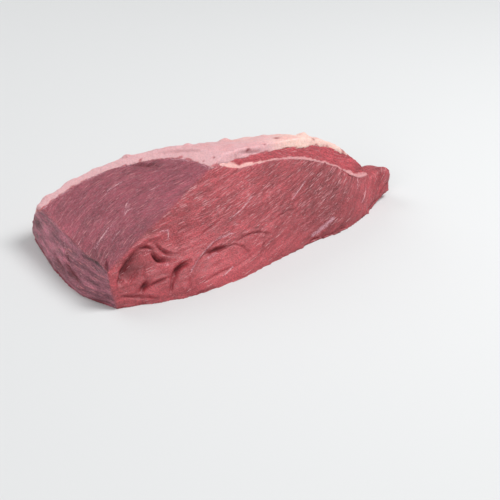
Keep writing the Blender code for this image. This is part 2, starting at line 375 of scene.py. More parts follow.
# Creases, with half width, depth and the height of the lip above.
creases = {
    "front": (
        # pocket beside the rolled lip, and two lines in it
        ((0.045, 0.20), 55, 0.037, -28, 0.0026, 0.0048, 0.0),
        ((0.065, 0.24), 40, 0.016, 0, 0.0065, 0.0030, 0.0),
        ((0.075, 0.19), 40, 0.016, 0, 0.0012, 0.0012, 0.0004),
        ((0.11, 0.19), 58, 0.013, 0, 0.0012, 0.0010, 0.0004),
        # hook, shelf and slit
        ((0.13, 0.455), 15, 0.014, -65, 0.0014, 0.0030, 0.0007),
        ((0.175, 0.46), -70, 0.019, 60, 0.0014, 0.0026, 0.0008),
        ((0.155, 0.40), -80, 0.016, 85, 0.0018, 0.0050, 0.0012),
        # deep crevice and the folds below it
        ((0.245, 0.26), 180, 0.022, 45, 0.0021, 0.0058, 0.0014),
        ((0.19, 0.18), 235, 0.014, 0, 0.0016, 0.0024, 0.0005),
        ((0.235, 0.17), 250, 0.013, -10, 0.0013, 0.0014, 0.0003),
        # pit and the creases that leave it
        ((0.10, 0.12), 40, 0.011, -10, 0.0022, 0.0046, 0.0010),
        ((0.12, 0.155), 8, 0.020, 0, 0.0013, 0.0024, 0.0007),
        ((0.11, 0.075), -30, 0.009, 20, 0.0012, 0.0016, 0.0005),
        ((0.05, 0.11), -16, 0.025, 10, 0.0013, 0.0016, 0.0006),
        # middle of the front, from the dark crevice to the arched ones
        ((0.295, 0.265), 15, 0.027, -25, 0.0016, 0.0038, 0.0011),
        ((0.37, 0.28), 5, 0.029, -95, 0.0011, 0.0010, 0.0005),
        ((0.40, 0.285), 15, 0.039, -45, 0.0012, 0.0015, 0.0006),
        ((0.46, 0.12), 55, 0.011, -25, 0.0012, 0.0016, 0.0004),
        ((0.235, 0.17), 30, 0.048, -12, 0.0014, 0.0016, 0.0007),
        ((0.26, 0.08), 10, 0.036, -8, 0.0012, 0.0010, 0.0004),
        ((0.54, 0.32), 12, 0.028, -18, 0.0012, 0.0010, 0.0004),
        ((0.30, 0.42), 20, 0.030, -6, 0.0012, 0.0010, 0.0004),
        # tail
        ((0.955, 0.05), 25, 0.014, 0, 0.0015, 0.0026, 0.0008),
    ),
    # under the fat
    "upper": (((0.295, 0.70), -70, 0.037, 0, 0.0022, 0.0020, 0.0),),
    # the notch in the corner of the three cuts, a pink notch and the hollows near the floor
    "end": (
        ((0.27, 0.385), 193, 0.013, 0, 0.0020, 0.0030, 0.0),
        ((0.62, 0.29), 202, 0.030, 0, 0.0013, 0.0022, 0.0006),
        ((0.54, 0.17), 192, 0.032, 0, 0.0034, 0.0040, 0.0010),
        ((0.66, 0.15), 191, 0.032, 0, 0.0022, 0.0024, 0.0008),
    ),
}

# Soft pads between the creases, with reach and height.
pads = {
    "front": (
        ((0.14, 0.23), 0.010, 0.0022),
        ((0.26, 0.14), 0.013, 0.0022),
        ((0.14, 0.10), 0.008, 0.0016),
        ((0.33, 0.20), 0.010, 0.0016),
        ((0.205, 0.11), 0.008, 0.0014),
        ((0.205, 0.32), 0.007, 0.0010),
        ((0.45, 0.20), 0.012, 0.0012),
        ((0.06, 0.07), 0.009, 0.0012),
        ((0.980, 0.21), 0.008, 0.0036),
        ((0.955, 0.27), 0.008, 0.0016),
    ),
}

# The soft roll of meat just below the corner between the front and the upper cut.
rolledLip = {
    "stroke": ("front", (0.04, 0.20), 73, 0.067, -86),
    "width": 0.0023,
    "rise": 0.0021,
}

# Veins of fat that can be told apart, with the half width of each.
veins = {
    "front": (
        ((0.24, 0.19), 32, 0.035, -12, 0.00060),
        ((0.31, 0.325), 22, 0.029, -28, 0.00060),
        ((0.20, 0.54), -5, 0.008, 5, 0.00050),
        ((0.22, 0.535), 253, 0.008, 0, 0.00055),
        ((0.40, 0.48), 8, 0.034, 22, 0.00045),
        ((0.62, 0.42), 25, 0.023, 0, 0.00045),
        ((0.86, 0.13), 15, 0.018, 45, 0.00040),
        ((0.86, 0.26), 45, 0.012, 25, 0.00040),
        ((0.32, 0.075), 18, 0.015, 0, 0.00045),
    ),
    "upper": (
        ((0.205, 0.64), -16, 0.015, 0, 0.00065),
        ((0.185, 0.45), 55, 0.012, -35, 0.00045),
        ((0.17, 0.42), 60, 0.011, -110, 0.00045),
        ((0.07, 0.39), 22, 0.021, 0, 0.00055),
        ((0.10, 0.34), 20, 0.011, 0, 0.00045),
        ((0.26, 0.44), -24, 0.010, 0, 0.00040),
    ),
    "end": (((0.62, 0.29), 202, 0.030, 0, 0.00045),),
}

# Fat that is smeared over the lean or speckles it, with reach and strength.
smears = {
    "front": (
        ((0.65, 0.06), 15, 0.031, 0, 0.0032, 0.85),
        ((0.62, 0.15), 10, 0.050, -6, 0.0120, 0.42),
        ((0.13, 0.42), 0, 0.009, 0, 0.0030, 0.55),
        ((0.18, 0.29), -8, 0.007, 0, 0.0026, 0.60),
        ((0.30, 0.24), 11, 0.011, 0, 0.0030, 0.60),
    ),
    "upper": (
        ((0.19, 0.63), 0, 0.012, 0, 0.0030, 0.62),
        ((0.17, 0.43), 29, 0.012, 0, 0.0045, 0.55),
        ((0.06, 0.38), 19, 0.030, 0, 0.0050, 0.55),
        ((0.09, 0.30), 13, 0.025, 0, 0.0050, 0.34),
    ),
    "end": (((0.70, 0.30), 185, 0.049, 0, 0.0090, 0.42),),
}

# Parts of the lean that are darker or lighter, with reach and change. Some are the meat's own colour and
# some are painted shade, as marked below.
toneAndShadingPatches = {
    "front": (
        # painted shade: a darker spot in the pocket beside the rolled lip
        ((0.09, 0.31), 0.012, -0.30),
        # broad changes, partly the meat's own colour and partly painted shading for how the light falls on
        # the front's curves: darker towards the tail, lighter low in the middle
        ((0.72, 0.30), 0.048, -0.40),
        ((0.38, 0.50), 0.030, -0.10),
        ((0.34, 0.12), 0.032, 0.16),
    ),
    "upper": (
        ((0.13, 0.26), 0.022, -0.19),
        ((0.13, 0.58), 0.022, -0.13),
        # painted shade in the hollow of the upper cut, under the edge of the fat
        ((0.325, 0.56), 0.009, -0.22),
        ((0.305, 0.66), 0.009, -0.18),
    ),
    "end": (
        # painted shade in the notch at the corner of the three cuts
        ((0.34, 0.38), 0.015, -0.32),
        ((0.66, 0.30), 0.020, 0.10),
    ),
}


def liftTail(points):
    share = (points[:, 0] - lowCorner[0]) / sideLengths[0]
    points[:, 2] += mainMuscle["tailLift"] * smoothStep(share, mainMuscle["tailStart"], 1.0)


def workMain():
    p = mainMuscle
    piece = fineCopy("main_muscle", "mainMeat", p["voxel"])
    refine(piece, creases, p["fineReach"])
    thinHidden(piece, p["mostTriangles"], p["hiddenDepth"])
    print("mainMeat", len(piece.data.polygons), "faces")
    points, normals = pointsOf(piece), normalsOf(piece)
    front, upper, end = faceShares(normals)
    grain, direction = grainOf(points, upper, end)
    away = np.linalg.norm(points - land(*p["puckerPlace"]), axis=1)
    pucker = np.exp(-(away / p["puckerReach"]) ** 2) * front
    push, hollow = fold(points, creases)
    lumpy = 0.35 + 0.65 * front + p["puckerLumps"] * pucker
    push += p["lumps"] * softNoise(points, p["lumpSize"], 1) * lumpy
    rough = 0.2 * upper + 0.45 * front + 0.9 * end + p["puckerKnobs"] * pucker
    push += p["knobs"] * softNoise(points, p["knobSize"], 2) * rough
    push += p["fibres"] * softNoise(grain, p["fibreSize"], 3) * front * (1 - 0.8 * pucker)
    push += p["cutFibres"] * softNoise(grain, p["cutFibreSize"], 4) * upper
    push += p["endGrooves"] * softNoise(grain, p["endGrooveSize"], 5) * end
    for place, reach, height in seated(pads):
        push += height * np.exp(-(np.linalg.norm(points - place, axis=1) / reach) ** 2)
    lip = np.exp(-(along(points, trace(*rolledLip["stroke"]))[0] / rolledLip["width"]) ** 2)
    push += rolledLip["rise"] * lip
    smear = np.zeros(len(points))
    for path, halfWidth in laid(veins):
        halo = 2 * halfWidth + p["veinHalo"]
        smear = np.maximum(smear, p["veinSmear"] * np.exp(-(along(points, path)[0] / halo) ** 2))
    for path, reach, strength in laid(smears):
        smear = np.maximum(smear, strength * np.exp(-(along(points, path)[0] / reach) ** 2))
    patchy = 0.72 + 0.28 * softNoise(points, 0.007, 9)
    for node, amount in (("fat_cover", p["coverSmear"]), ("fat_seam", p["seamSmear"])):
        near = 1 - distances(points, node, p["fatReach"]) / p["fatReach"]
        smear = np.maximum(smear, amount * patchy * near)
    toneAndShading = np.ones(len(points))
    for place, reach, change in seated(toneAndShadingPatches):
        toneAndShading += change * np.exp(-(np.linalg.norm(points - place, axis=1) / reach) ** 2)
    # painted highlight: a lighter line along the rolled lip
    toneAndShading += 0.10 * lip
    toneAndShading += softNoise(grain, p["streakSize"], 10) * (p["frontStreaks"] * front + p["endStreaks"] * end)
    low = 1 - smoothStep(points[:, 2] / sideLengths[2], 0.14, 0.36)
    calm = np.clip(np.maximum(1.3 * pucker, low * front), 0, 0.85)
    points += normals * push[:, None]
    sideways = normals * (1, 1, 0)
    foot = 1 - smoothStep(points[:, 2], 0, p["footHeight"])
    foot *= smoothStep(np.linalg.norm(sideways, axis=1), 0.2, 0.6)
    tuck = p["footTuck"] * (0.6 + 0.6 * softNoise(points, 0.03, 6))
    tuck -= p["footNoise"] * softNoise(points, p["footNoiseSize"], 7)
    points -= sideways * (foot * tuck)[:, None]
    liftTail(points)
    setPoints(piece, points)
    keep(piece, "grain", grain)
    keep(piece, "fibre", tangent(direction, normals))
    keep(piece, "upperCut", spread(piece, upper, 10))
    keep(piece, "endCut", spread(piece, end, 4))
    keep(piece, "hollow", hollow)
    keep(piece, "smear", smear)
    keep(piece, "toneAndShading", toneAndShading)
    keep(piece, "calm", calm)
    middle = smoothStep(points[:, 2] / sideLengths[2], 0.12, 0.40)
    dense = front * (0.30 + 0.9 * middle) * (1 - 0.8 * pucker) + 0.12 * upper + 0.05 * end
    keep(piece, "marble", dense * (1 - hollow) * (0.25 + 1.1 * (softNoise(points, 0.016, 8) > -0.05)))
    return piece


capMuscle = {
    "voxel": 0.00095,
    "lumps": 0.0006, "lumpSize": 0.012,
    "fibres": 0.00035, "fibreSize": (0.014, 0.0017, 0.003),
    "slope": -0.52,
}


def workCap():
    p = capMuscle
    piece = fineCopy("cap_muscle", "capMeat", p["voxel"])
    points, normals = pointsOf(piece), normalsOf(piece)
    front = faceShares(normals)[0]
    x, y, z = points.T
    grain = np.stack([x, z - p["slope"] * x, y * 0.4], 1)
    direction = np.tile((1.0, 0.0, p["slope"]), (len(points), 1))
    push = p["lumps"] * softNoise(points, p["lumpSize"], 11)
    push += p["fibres"] * softNoise(grain, p["fibreSize"], 12) * front
    points += normals * push[:, None]
    liftTail(points)
    setPoints(piece, points)
    keep(piece, "grain", grain)
    keep(piece, "fibre", tangent(direction, normals))
    none = np.zeros(len(points))
    for name in ("upperCut", "endCut", "hollow", "smear", "calm"):
        keep(piece, name, none)
    keep(piece, "toneAndShading", none + 1)
    keep(piece, "marble", 0.35 * front)
    return piece


fatSeam = {
    "voxel": 0.00085,
    "lumps": 0.00030, "lumpSize": 0.006,
    "ragged": 0.00040, "raggedSize": 0.0022,
    # how far the pale line spreads from the main muscle, at shares of the length
    "widths": (
        (0.42, 0.0060), (0.50, 0.0046), (0.55, 0.0022), (0.64, 0.0028), (0.72, 0.0020), (0.80, 0.0014),
        (0.86, 0.0030), (0.90, 0.0038), (0.925, 0.0020), (0.945, 0.0001),
    ),
}


def workSeam():
    p = fatSeam
    piece = fineCopy("fat_seam", "seamFat", p["voxel"])
    points, normals = pointsOf(piece), normalsOf(piece)
    share = (points[:, 0] - lowCorner[0]) / sideLengths[0]
    across = distances(points, "main_muscle", 0.012)
    width = np.interp(share, *zip(*p["widths"])) * (1 + 0.60 * softNoise(points, 0.006, 23))
    pale = 1 - smoothStep(across + 0.0007 * softNoise(points, 0.002, 24), 0.65 * width, 1.15 * width)
    push = 0.0001 * pale - 0.0001 + p["lumps"] * softNoise(points, p["lumpSize"], 21)
    push += p["ragged"] * softNoise(points, p["raggedSize"], 22)
    points += normals * push[:, None]
    liftTail(points)
    setPoints(piece, points)
    keep(piece, "creamy", 1 - smoothStep(share, 0.50, 0.62))
    keep(piece, "bloodAndFoldShade", np.zeros(len(points)))
    keep(piece, "outer", np.zeros(len(points)))
    keep(piece, "lean", 1 - pale)
    return piece


fatCover = {
    "voxel": 0.00125,
    "lumps": 0.0012, "lumpSize": 0.017,
    "knobs": 0.0007, "knobSize": 0.0065,
    "ragged": 0.00035, "raggedSize": 0.0026,
    "bumpRise": 0.0027, "bumpSize": 0.0052,
    "spotDepth": 0.0010,
    "edgeReach": 0.006,
}

# Small dark spots in the fat cover, with their size.
bloodSpots = {
    "upper": (
        ((0.645, 0.33), 0.0030),
        ((0.58, 0.28), 0.0012),
        ((0.75, 0.27), 0.0022),
        ((0.42, 0.31), 0.0012),
        ((0.52, 0.275), 0.0020),
    ),
}

# Rough bumps along the top of the fat cover, seen from above, which break up its outline.
coverBumps = (
    (0.10, 0.91), (0.17, 0.87), (0.23, 0.83), (0.31, 0.75), (0.43, 0.54),
    (0.54, 0.50), (0.76, 0.36), (0.12, 0.93), (0.36, 0.85), (0.60, 0.72),
)

# Folds in the fat cover, as for the creases of the lean.
coverFolds = {
    "front": (
        ((0.49, 0.955), -8, 0.025, -8, 0.0018, 0.0022, 0.0006),
        ((0.415, 0.935), -20, 0.021, -30, 0.0016, 0.0018, 0.0005),
    ),
    "upper": (
        ((0.46, 0.33), -45, 0.015, -50, 0.0014, 0.0015, 0.0004),
        ((0.36, 0.60), -50, 0.045, -25, 0.0018, 0.0014, 0.0005),
    ),
}


def workCover():
    p = fatCover
    piece = fineCopy("fat_cover", "coverFat", p["voxel"])
    points, normals = pointsOf(piece), normalsOf(piece)
    front, upper, end = faceShares(normals)
    outer = (1 - np.maximum(front, end)) * (1 - upper)
    share = (points[:, 0] - lowCorner[0]) / sideLengths[0]
    push, hollow = fold(points, coverFolds)
    push += p["lumps"] * softNoise(points, p["lumpSize"], 31) * (0.3 + 0.7 * outer)
    push += p["knobs"] * softNoise(points, p["knobSize"], 32) * (0.4 + 0.6 * outer)
    push += p["ragged"] * softNoise(points, p["raggedSize"], 33)
    for at in coverBumps:
        away = np.linalg.norm(points - land("upper", *at), axis=1)
        push += p["bumpRise"] * np.exp(-(away / p["bumpSize"]) ** 2) * outer
    # painted shadow: the fold hollows of the fat take part of the dark blood colour; the real blood spots
    # are added below
    bloodAndFoldShade = 0.45 * hollow
    for place, size in seated(bloodSpots):
        pit = np.exp(-(np.linalg.norm(points - place, axis=1) / size) ** 2)
        bloodAndFoldShade = np.maximum(bloodAndFoldShade, pit)
        push -= p["spotDepth"] * pit
    reach = p["edgeReach"]
    lean = np.minimum(distances(points, "main_muscle", reach), distances(points, "cap_muscle", reach))
    edge = 1 - lean / reach
    ragged = smoothStep(edge + 0.5 * softNoise(points, 0.0045, 34), 0.80, 1.0)
    ragged *= (front + upper + end).clip(0, 1)
    bare = smoothStep(share + 0.015 * softNoise(points, 0.006, 35), 0.835, 0.855)
    points += normals * (push + 0.0001)[:, None]
    liftTail(points)
    setPoints(piece, points)
    keep(piece, "creamy", smoothStep(share + 0.07 * softNoise(points, 0.022, 36), 0.52, 0.72))
    keep(piece, "bloodAndFoldShade", bloodAndFoldShade)
    keep(piece, "outer", outer)
    keep(piece, "lean", np.maximum(bare, 0.8 * ragged))
    return piece


def addNode(tree, kind, **settings):
    node = tree.nodes.new(kind)
    for name, value in settings.items():
        setattr(node, name, value)
    return node


def feed(tree, node, socket, value):
    target = node.inputs[socket]
    if isinstance(value, bpy.types.NodeSocket):
        tree.links.new(value, target)
    else:
        target.default_value = value


def attributeNode(tree, name, output):
    return addNode(tree, "ShaderNodeAttribute", attribute_name=name).outputs[output]


def noiseNode(tree, vector, scale, detail=2.0):
    node = addNode(tree, "ShaderNodeTexNoise")
    feed(tree, node, "Vector", vector)
    feed(tree, node, "Scale", scale)
    feed(tree, node, "Detail", detail)
    return node.outputs["Fac"]


def mapRange(tree, value, low, high, toLow=0.0, toHigh=1.0):
    node = addNode(tree, "ShaderNodeMapRange")
    for socket, number in (
        ("Value", value), ("From Min", low), ("From Max", high), ("To Min", toLow), ("To Max", toHigh),
    ):
        feed(tree, node, socket, number)
    return node.outputs["Result"]


def maths(tree, operation, first, second=0.0):
    node = addNode(tree, "ShaderNodeMath", operation=operation)
    feed(tree, node, 0, first)
    feed(tree, node, 1, second)
    return node.outputs[0]


def blendValue(tree, share, first, second):
    node = addNode(tree, "ShaderNodeMix", data_type="FLOAT")
    for socket, value in ((0, share), (2, first), (3, second)):
        feed(tree, node, socket, value)
    return node.outputs[0]


def blendColour(tree, share, first, second):
    node = addNode(tree, "ShaderNodeMix", data_type="RGBA")
    feed(tree, node, 0, share)
    feed(tree, node, 6, first if isinstance(first, bpy.types.NodeSocket) else (*first, 1.0))
    feed(tree, node, 7, second if isinstance(second, bpy.types.NodeSocket) else (*second, 1.0))
    return node.outputs[2]


def stretched(tree, vector, sizes):
    node = addNode(tree, "ShaderNodeVectorMath", operation="MULTIPLY")
    feed(tree, node, 0, vector)
    feed(tree, node, 1, tuple(1 / size for size in sizes))
    return node.outputs[0]


def makeGroup(name, inputs, outputs):
    group = bpy.data.node_groups.new(name, "ShaderNodeTree")
    for label, kind, value in inputs:
        socket = group.interface.new_socket(label, in_out="INPUT", socket_type=kind)
        if value is not None:
            socket.default_value = value
    for label in outputs:
        group.interface.new_socket(label, in_out="OUTPUT", socket_type="NodeSocketFloat")
    return group, addNode(group, "NodeGroupInput"), addNode(group, "NodeGroupOutput")


def placeGroup(tree, group, **values):
    node = addNode(tree, "ShaderNodeGroup", node_tree=group)
    for label, value in values.items():
        feed(tree, node, label, value)
    return node


def fibreGroup():
    # fibres of the lean, and thin pale lines where fat runs between them
    group, start, finish = makeGroup(
        "meatFibres",
        [("Grain", "NodeSocketVector", None), ("Lines", "NodeSocketFloat", 0.66)],
        ["Fibres", "Bands", "Pale", "Flecks"],
    )
    grain = start.outputs["Grain"]
    fibres = noiseNode(group, stretched(group, grain, (0.007, 0.0007, 0.0012)), 1.0, 3.0)
    bands = noiseNode(group, stretched(group, grain, (0.040, 0.0050, 0.010)), 1.0, 2.0)
    lines = noiseNode(group, stretched(group, grain, (0.012, 0.0008, 0.0030)), 1.0, 1.5)
    edge = maths(group, "ADD", start.outputs["Lines"], 0.06)
    pale = addNode(group, "ShaderNodeMapRange")
    feed(group, pale, "Value", lines)
    feed(group, pale, "From Min", start.outputs["Lines"])
    feed(group, pale, "From Max", edge)
    group.links.new(fibres, finish.inputs["Fibres"])
    group.links.new(bands, finish.inputs["Bands"])
    group.links.new(pale.outputs["Result"], finish.inputs["Pale"])
    flecks = noiseNode(group, stretched(group, grain, (0.0034, 0.0011, 0.0030)), 1.0, 2.0)
    group.links.new(mapRange(group, flecks, 0.58, 0.70), finish.inputs["Flecks"])
    return group


def moistGroup():
    # a damp, slightly mottled surface: small speckle, wide blotches and where it is wetter
    group, start, finish = makeGroup(
        "moistMottle",
        [("Speckle Size", "NodeSocketFloat", 0.0012), ("Blotch Size", "NodeSocketFloat", 0.02)],
        ["Speckle", "Blotch", "Dampness"],
    )
    place = addNode(group, "ShaderNodeTexCoord").outputs["Object"]
    group.links.new(
        noiseNode(group, place, maths(group, "DIVIDE", 1.0, start.outputs["Speckle Size"]), 3.0),
        finish.inputs["Speckle"],
    )
    group.links.new(
        noiseNode(group, place, maths(group, "DIVIDE", 1.0, start.outputs["Blotch Size"]), 2.0),
        finish.inputs["Blotch"],
    )
    group.links.new(noiseNode(group, place, 160.0, 2.0), finish.inputs["Dampness"])
    return group


fibreNodes = fibreGroup()
moistNodes = moistGroup()


def startMaterial(name, constants):
    material = bpy.data.materials.new(name)
    material.use_nodes = True
    shader = material.node_tree.nodes["Principled BSDF"]
    for socket, value in constants.items():
        shader.inputs[socket].default_value = value
    return material, material.node_tree, shader


def timesColour(tree, colour, factor):
    scaled = addNode(tree, "ShaderNodeVectorMath", operation="SCALE")
    feed(tree, scaled, 0, colour)
    feed(tree, scaled, "Scale", factor)
    return scaled.outputs[0]


def rgbNode(tree, colour):
    node = addNode(tree, "ShaderNodeRGB")
    node.outputs[0].default_value = (*colour, 1.0)
    return node.outputs[0]


leanLook = {
    "front": (0.400, 0.066, 0.080),
    # upper and end: partly the cuts' own duller, more purple surface, partly painted sheen for the bluish
    # light those faces reflect
    "upper": (0.290, 0.056, 0.084),
    "end": (0.330, 0.104, 0.142),
    # painted shade for the creases and hollows
    "creaseShade": (0.140, 0.014, 0.020),
    "pale": (0.560, 0.190, 0.210),
    "smear": (0.620, 0.330, 0.390),
    "lines": 0.630,
}

capLook = {**leanLook, "front": (0.460, 0.068, 0.084), "lines": 0.64}


def leanMaterial(name, look):
    material, tree, shader = startMaterial(
        name,
        {
            "Specular IOR Level": 0.5,
            "Subsurface Weight": 0.08,
            "Subsurface Radius": (0.004, 0.0012, 0.0009),
            "Subsurface Scale": 0.5,
        },
    )
    fibres = placeGroup(
        tree, fibreNodes, Grain=attributeNode(tree, "grain", "Vector"), Lines=look["lines"]
    )
    moist = placeGroup(tree, moistNodes, **{"Speckle Size": 0.0011, "Blotch Size": 0.016})
    # The upper and end cuts get their own colours, darker and more purple than the front: partly the cuts'
    # own duller surface, partly painted sheen for the bluish light that faces turned up or to the left
    # reflect.
    colour = blendColour(tree, attributeNode(tree, "upperCut", "Fac"), look["front"], look["upper"])
    colour = blendColour(tree, attributeNode(tree, "endCut", "Fac"), colour, look["end"])
    calm = attributeNode(tree, "calm", "Fac")
    threads = blendValue(tree, calm, fibres.outputs["Fibres"], 0.5)
    shade = attributeNode(tree, "toneAndShading", "Fac")
    for value, low, high in (
        (fibres.outputs["Bands"], 0.84, 1.16),
        (threads, 0.70, 1.30),
        (moist.outputs["Speckle"], 0.60, 1.40),
        (moist.outputs["Blotch"], 0.86, 1.14),
    ):
        shade = maths(tree, "MULTIPLY", shade, mapRange(tree, value, 0.3, 0.7, low, high))
    colour = timesColour(tree, colour, shade)
    colour = blendColour(tree, blendValue(tree, calm, fibres.outputs["Pale"], 0.0), colour, look["pale"])
    flecks = maths(tree, "ADD", attributeNode(tree, "upperCut", "Fac"), attributeNode(tree, "endCut", "Fac"))
    flecks = maths(tree, "MULTIPLY", fibres.outputs["Flecks"], mapRange(tree, flecks, 0.0, 1.0, 0.14, 0.34))
    colour = blendColour(tree, flecks, colour, look["smear"])
    broken = mapRange(tree, moist.outputs["Speckle"], 0.3, 0.7, -0.28, 0.28)
    smear = maths(tree, "ADD", attributeNode(tree, "smear", "Fac"), broken)
    smear = mapRange(tree, smear, 0.52, 0.86, 0.0, 0.75)
    colour = blendColour(tree, smear, colour, look["smear"])
    # painted shade: creases and hollows are darkened towards the crease shade colour
    creaseShadeShare = maths(tree, "MULTIPLY", attributeNode(tree, "hollow", "Fac"), 0.85)
    feed(tree, shader, "Base Color", blendColour(tree, creaseShadeShare, colour, look["creaseShade"]))
    feed(tree, shader, "Roughness", mapRange(tree, moist.outputs["Dampness"], 0.3, 0.7, 0.32, 0.56))
    bump = addNode(tree, "ShaderNodeBump")
    feed(tree, bump, "Strength", 0.8)
    feed(tree, bump, "Distance", 0.0008)
    feed(tree, bump, "Height", maths(tree, "ADD", threads, moist.outputs["Speckle"]))
    feed(tree, shader, "Normal", bump.outputs[0])
    return material


fatLook = {
    "pink": (0.720, 0.405, 0.425),
    "cream": (0.900, 0.600, 0.530),
    "salmon": (0.680, 0.270, 0.270),
    "bloodAndFoldShade": (0.280, 0.040, 0.050),
    "lean": (0.420, 0.068, 0.083),
}

seamLook = {**fatLook, "pink": (0.700, 0.330, 0.340), "cream": (0.900, 0.500, 0.470)}


def fatMaterial(name, look, blotches):
    material, tree, shader = startMaterial(
        name,
        {
            "Specular IOR Level": 0.42,
            "Subsurface Weight": 0.18,
            "Subsurface Radius": (0.005, 0.0026, 0.0020),
            "Subsurface Scale": 0.6,
        },
    )
    moist = placeGroup(tree, moistNodes, **{"Speckle Size": 0.0015, "Blotch Size": 0.016})
    colour = blendColour(tree, attributeNode(tree, "creamy", "Fac"), look["pink"], look["cream"])
    salmon = mapRange(tree, moist.outputs["Blotch"], 0.44, 0.72, 0.0, blotches)
    salmon = maths(tree, "MULTIPLY", salmon, attributeNode(tree, "outer", "Fac"))
    colour = blendColour(tree, salmon, colour, look["salmon"])
    colour = timesColour(tree, colour, mapRange(tree, moist.outputs["Speckle"], 0.3, 0.7, 0.86, 1.10))
    # real blood spots, and painted shadow in the fat's folds
    colour = blendColour(tree, attributeNode(tree, "bloodAndFoldShade", "Fac"), colour, look["bloodAndFoldShade"])
    raw = timesColour(
        tree, rgbNode(tree, look["lean"]), mapRange(tree, moist.outputs["Speckle"], 0.3, 0.7, 0.70, 1.30)
    )
    colour = blendColour(tree, attributeNode(tree, "lean", "Fac"), colour, raw)
    feed(tree, shader, "Base Color", colour)
    feed(tree, shader, "Roughness", mapRange(tree, moist.outputs["Dampness"], 0.3, 0.7, 0.36, 0.58))
    bump = addNode(tree, "ShaderNodeBump")
    feed(tree, bump, "Strength", 0.6)
    feed(tree, bump, "Distance", 0.0007)
    feed(tree, bump, "Height", moist.outputs["Speckle"])
    feed(tree, shader, "Normal", bump.outputs[0])
    return material


def threadMaterial(name, colour):
    material, tree, shader = startMaterial(name, {"Specular IOR Level": 0.4, "Roughness": 0.45})
    moist = placeGroup(tree, moistNodes, **{"Speckle Size": 0.0016, "Blotch Size": 0.006})
    darker = tuple(part * 0.72 for part in colour)
    share = mapRange(tree, moist.outputs["Blotch"], 0.35, 0.65)
    feed(tree, shader, "Base Color", blendColour(tree, share, darker, colour))
    return material


def treeWithInputs(name, inputs):
    tree = bpy.data.node_groups.new(name, "GeometryNodeTree")
    tree.interface.new_socket("Geometry", in_out="INPUT", socket_type="NodeSocketGeometry")
    keys = {}
    for label, kind, value in inputs:
        socket = tree.interface.new_socket(label, in_out="INPUT", socket_type=kind)
        if value is not None:
            socket.default_value = value
        keys[label] = socket.identifier
    tree.interface.new_socket("Geometry", in_out="OUTPUT", socket_type="NodeSocketGeometry")
    return tree, addNode(tree, "NodeGroupInput"), addNode(tree, "NodeGroupOutput"), keys


def namedAttribute(tree, name, kind):
    node = addNode(tree, "GeometryNodeInputNamedAttribute", data_type=kind)
    node.inputs["Name"].default_value = name
    return node.outputs[0]


def sliverTree():
    # thin slivers of fat that lie along the fibres, more where the surface says so
    inputs = [
        ("Density", "NodeSocketFloat", 1000.0),
        ("Smallest", "NodeSocketVector", None),
        ("Largest", "NodeSocketVector", None),
        ("Seed", "NodeSocketInt", 0),
        ("Material", "NodeSocketMaterial", None),
    ]
    tree, start, finish, keys = treeWithInputs("fatSlivers", inputs)
    density = addNode(tree, "ShaderNodeMath", operation="MULTIPLY")
    feed(tree, density, 0, start.outputs["Density"])
    feed(tree, density, 1, namedAttribute(tree, "marble", "FLOAT"))
    scatter = addNode(tree, "GeometryNodeDistributePointsOnFaces")
    feed(tree, scatter, "Mesh", start.outputs["Geometry"])
    feed(tree, scatter, "Density", density.outputs[0])
    feed(tree, scatter, "Seed", start.outputs["Seed"])
    ball = addNode(tree, "GeometryNodeMeshIcoSphere")
    ball.inputs["Radius"].default_value = 1.0
    ball.inputs["Subdivisions"].default_value = 1
    upright = addNode(tree, "FunctionNodeAlignRotationToVector", axis="Z")
    feed(tree, upright, "Vector", scatter.outputs["Normal"])
    lengthwise = addNode(tree, "FunctionNodeAlignRotationToVector", axis="X", pivot_axis="Z")
    feed(tree, lengthwise, "Rotation", upright.outputs[0])
    feed(tree, lengthwise, "Vector", namedAttribute(tree, "fibre", "FLOAT_VECTOR"))
    size = addNode(tree, "FunctionNodeRandomValue", data_type="FLOAT_VECTOR")
    feed(tree, size, 0, start.outputs["Smallest"])
    feed(tree, size, 1, start.outputs["Largest"])
    feed(tree, size, "Seed", start.outputs["Seed"])
    lay = addNode(tree, "GeometryNodeInstanceOnPoints")
    feed(tree, lay, "Points", scatter.outputs["Points"])
    feed(tree, lay, "Instance", ball.outputs["Mesh"])
    feed(tree, lay, "Rotation", lengthwise.outputs[0])
    feed(tree, lay, "Scale", size.outputs[0])
    real = addNode(tree, "GeometryNodeRealizeInstances")
    feed(tree, real, "Geometry", lay.outputs[0])
    paint = addNode(tree, "GeometryNodeSetMaterial")
    feed(tree, paint, "Geometry", real.outputs[0])
    feed(tree, paint, "Material", start.outputs["Material"])
    tree.links.new(paint.outputs[0], finish.inputs[0])
    return tree, keys


def veinTree():
    # a soft round cord of fat along each path, thinning at both ends
    inputs = [("Sides", "NodeSocketInt", 6), ("Material", "NodeSocketMaterial", None)]
    tree, start, finish, keys = treeWithInputs("fatVeins", inputs)
    ring = addNode(tree, "GeometryNodeCurvePrimitiveCircle")
    feed(tree, ring, "Resolution", start.outputs["Sides"])
    ring.inputs["Radius"].default_value = 1.0
    tube = addNode(tree, "GeometryNodeCurveToMesh")
    feed(tree, tube, "Curve", start.outputs["Geometry"])
    feed(tree, tube, "Profile Curve", ring.outputs[0])
    tube.inputs["Fill Caps"].default_value = True
    feed(tree, tube, "Scale", addNode(tree, "GeometryNodeInputRadius").outputs[0])
    real = addNode(tree, "GeometryNodeRealizeInstances")
    feed(tree, real, "Geometry", tube.outputs[0])
    paint = addNode(tree, "GeometryNodeSetMaterial")
    feed(tree, paint, "Geometry", real.outputs[0])
    feed(tree, paint, "Material", start.outputs["Material"])
    tree.links.new(paint.outputs[0], finish.inputs[0])
    return tree, keys


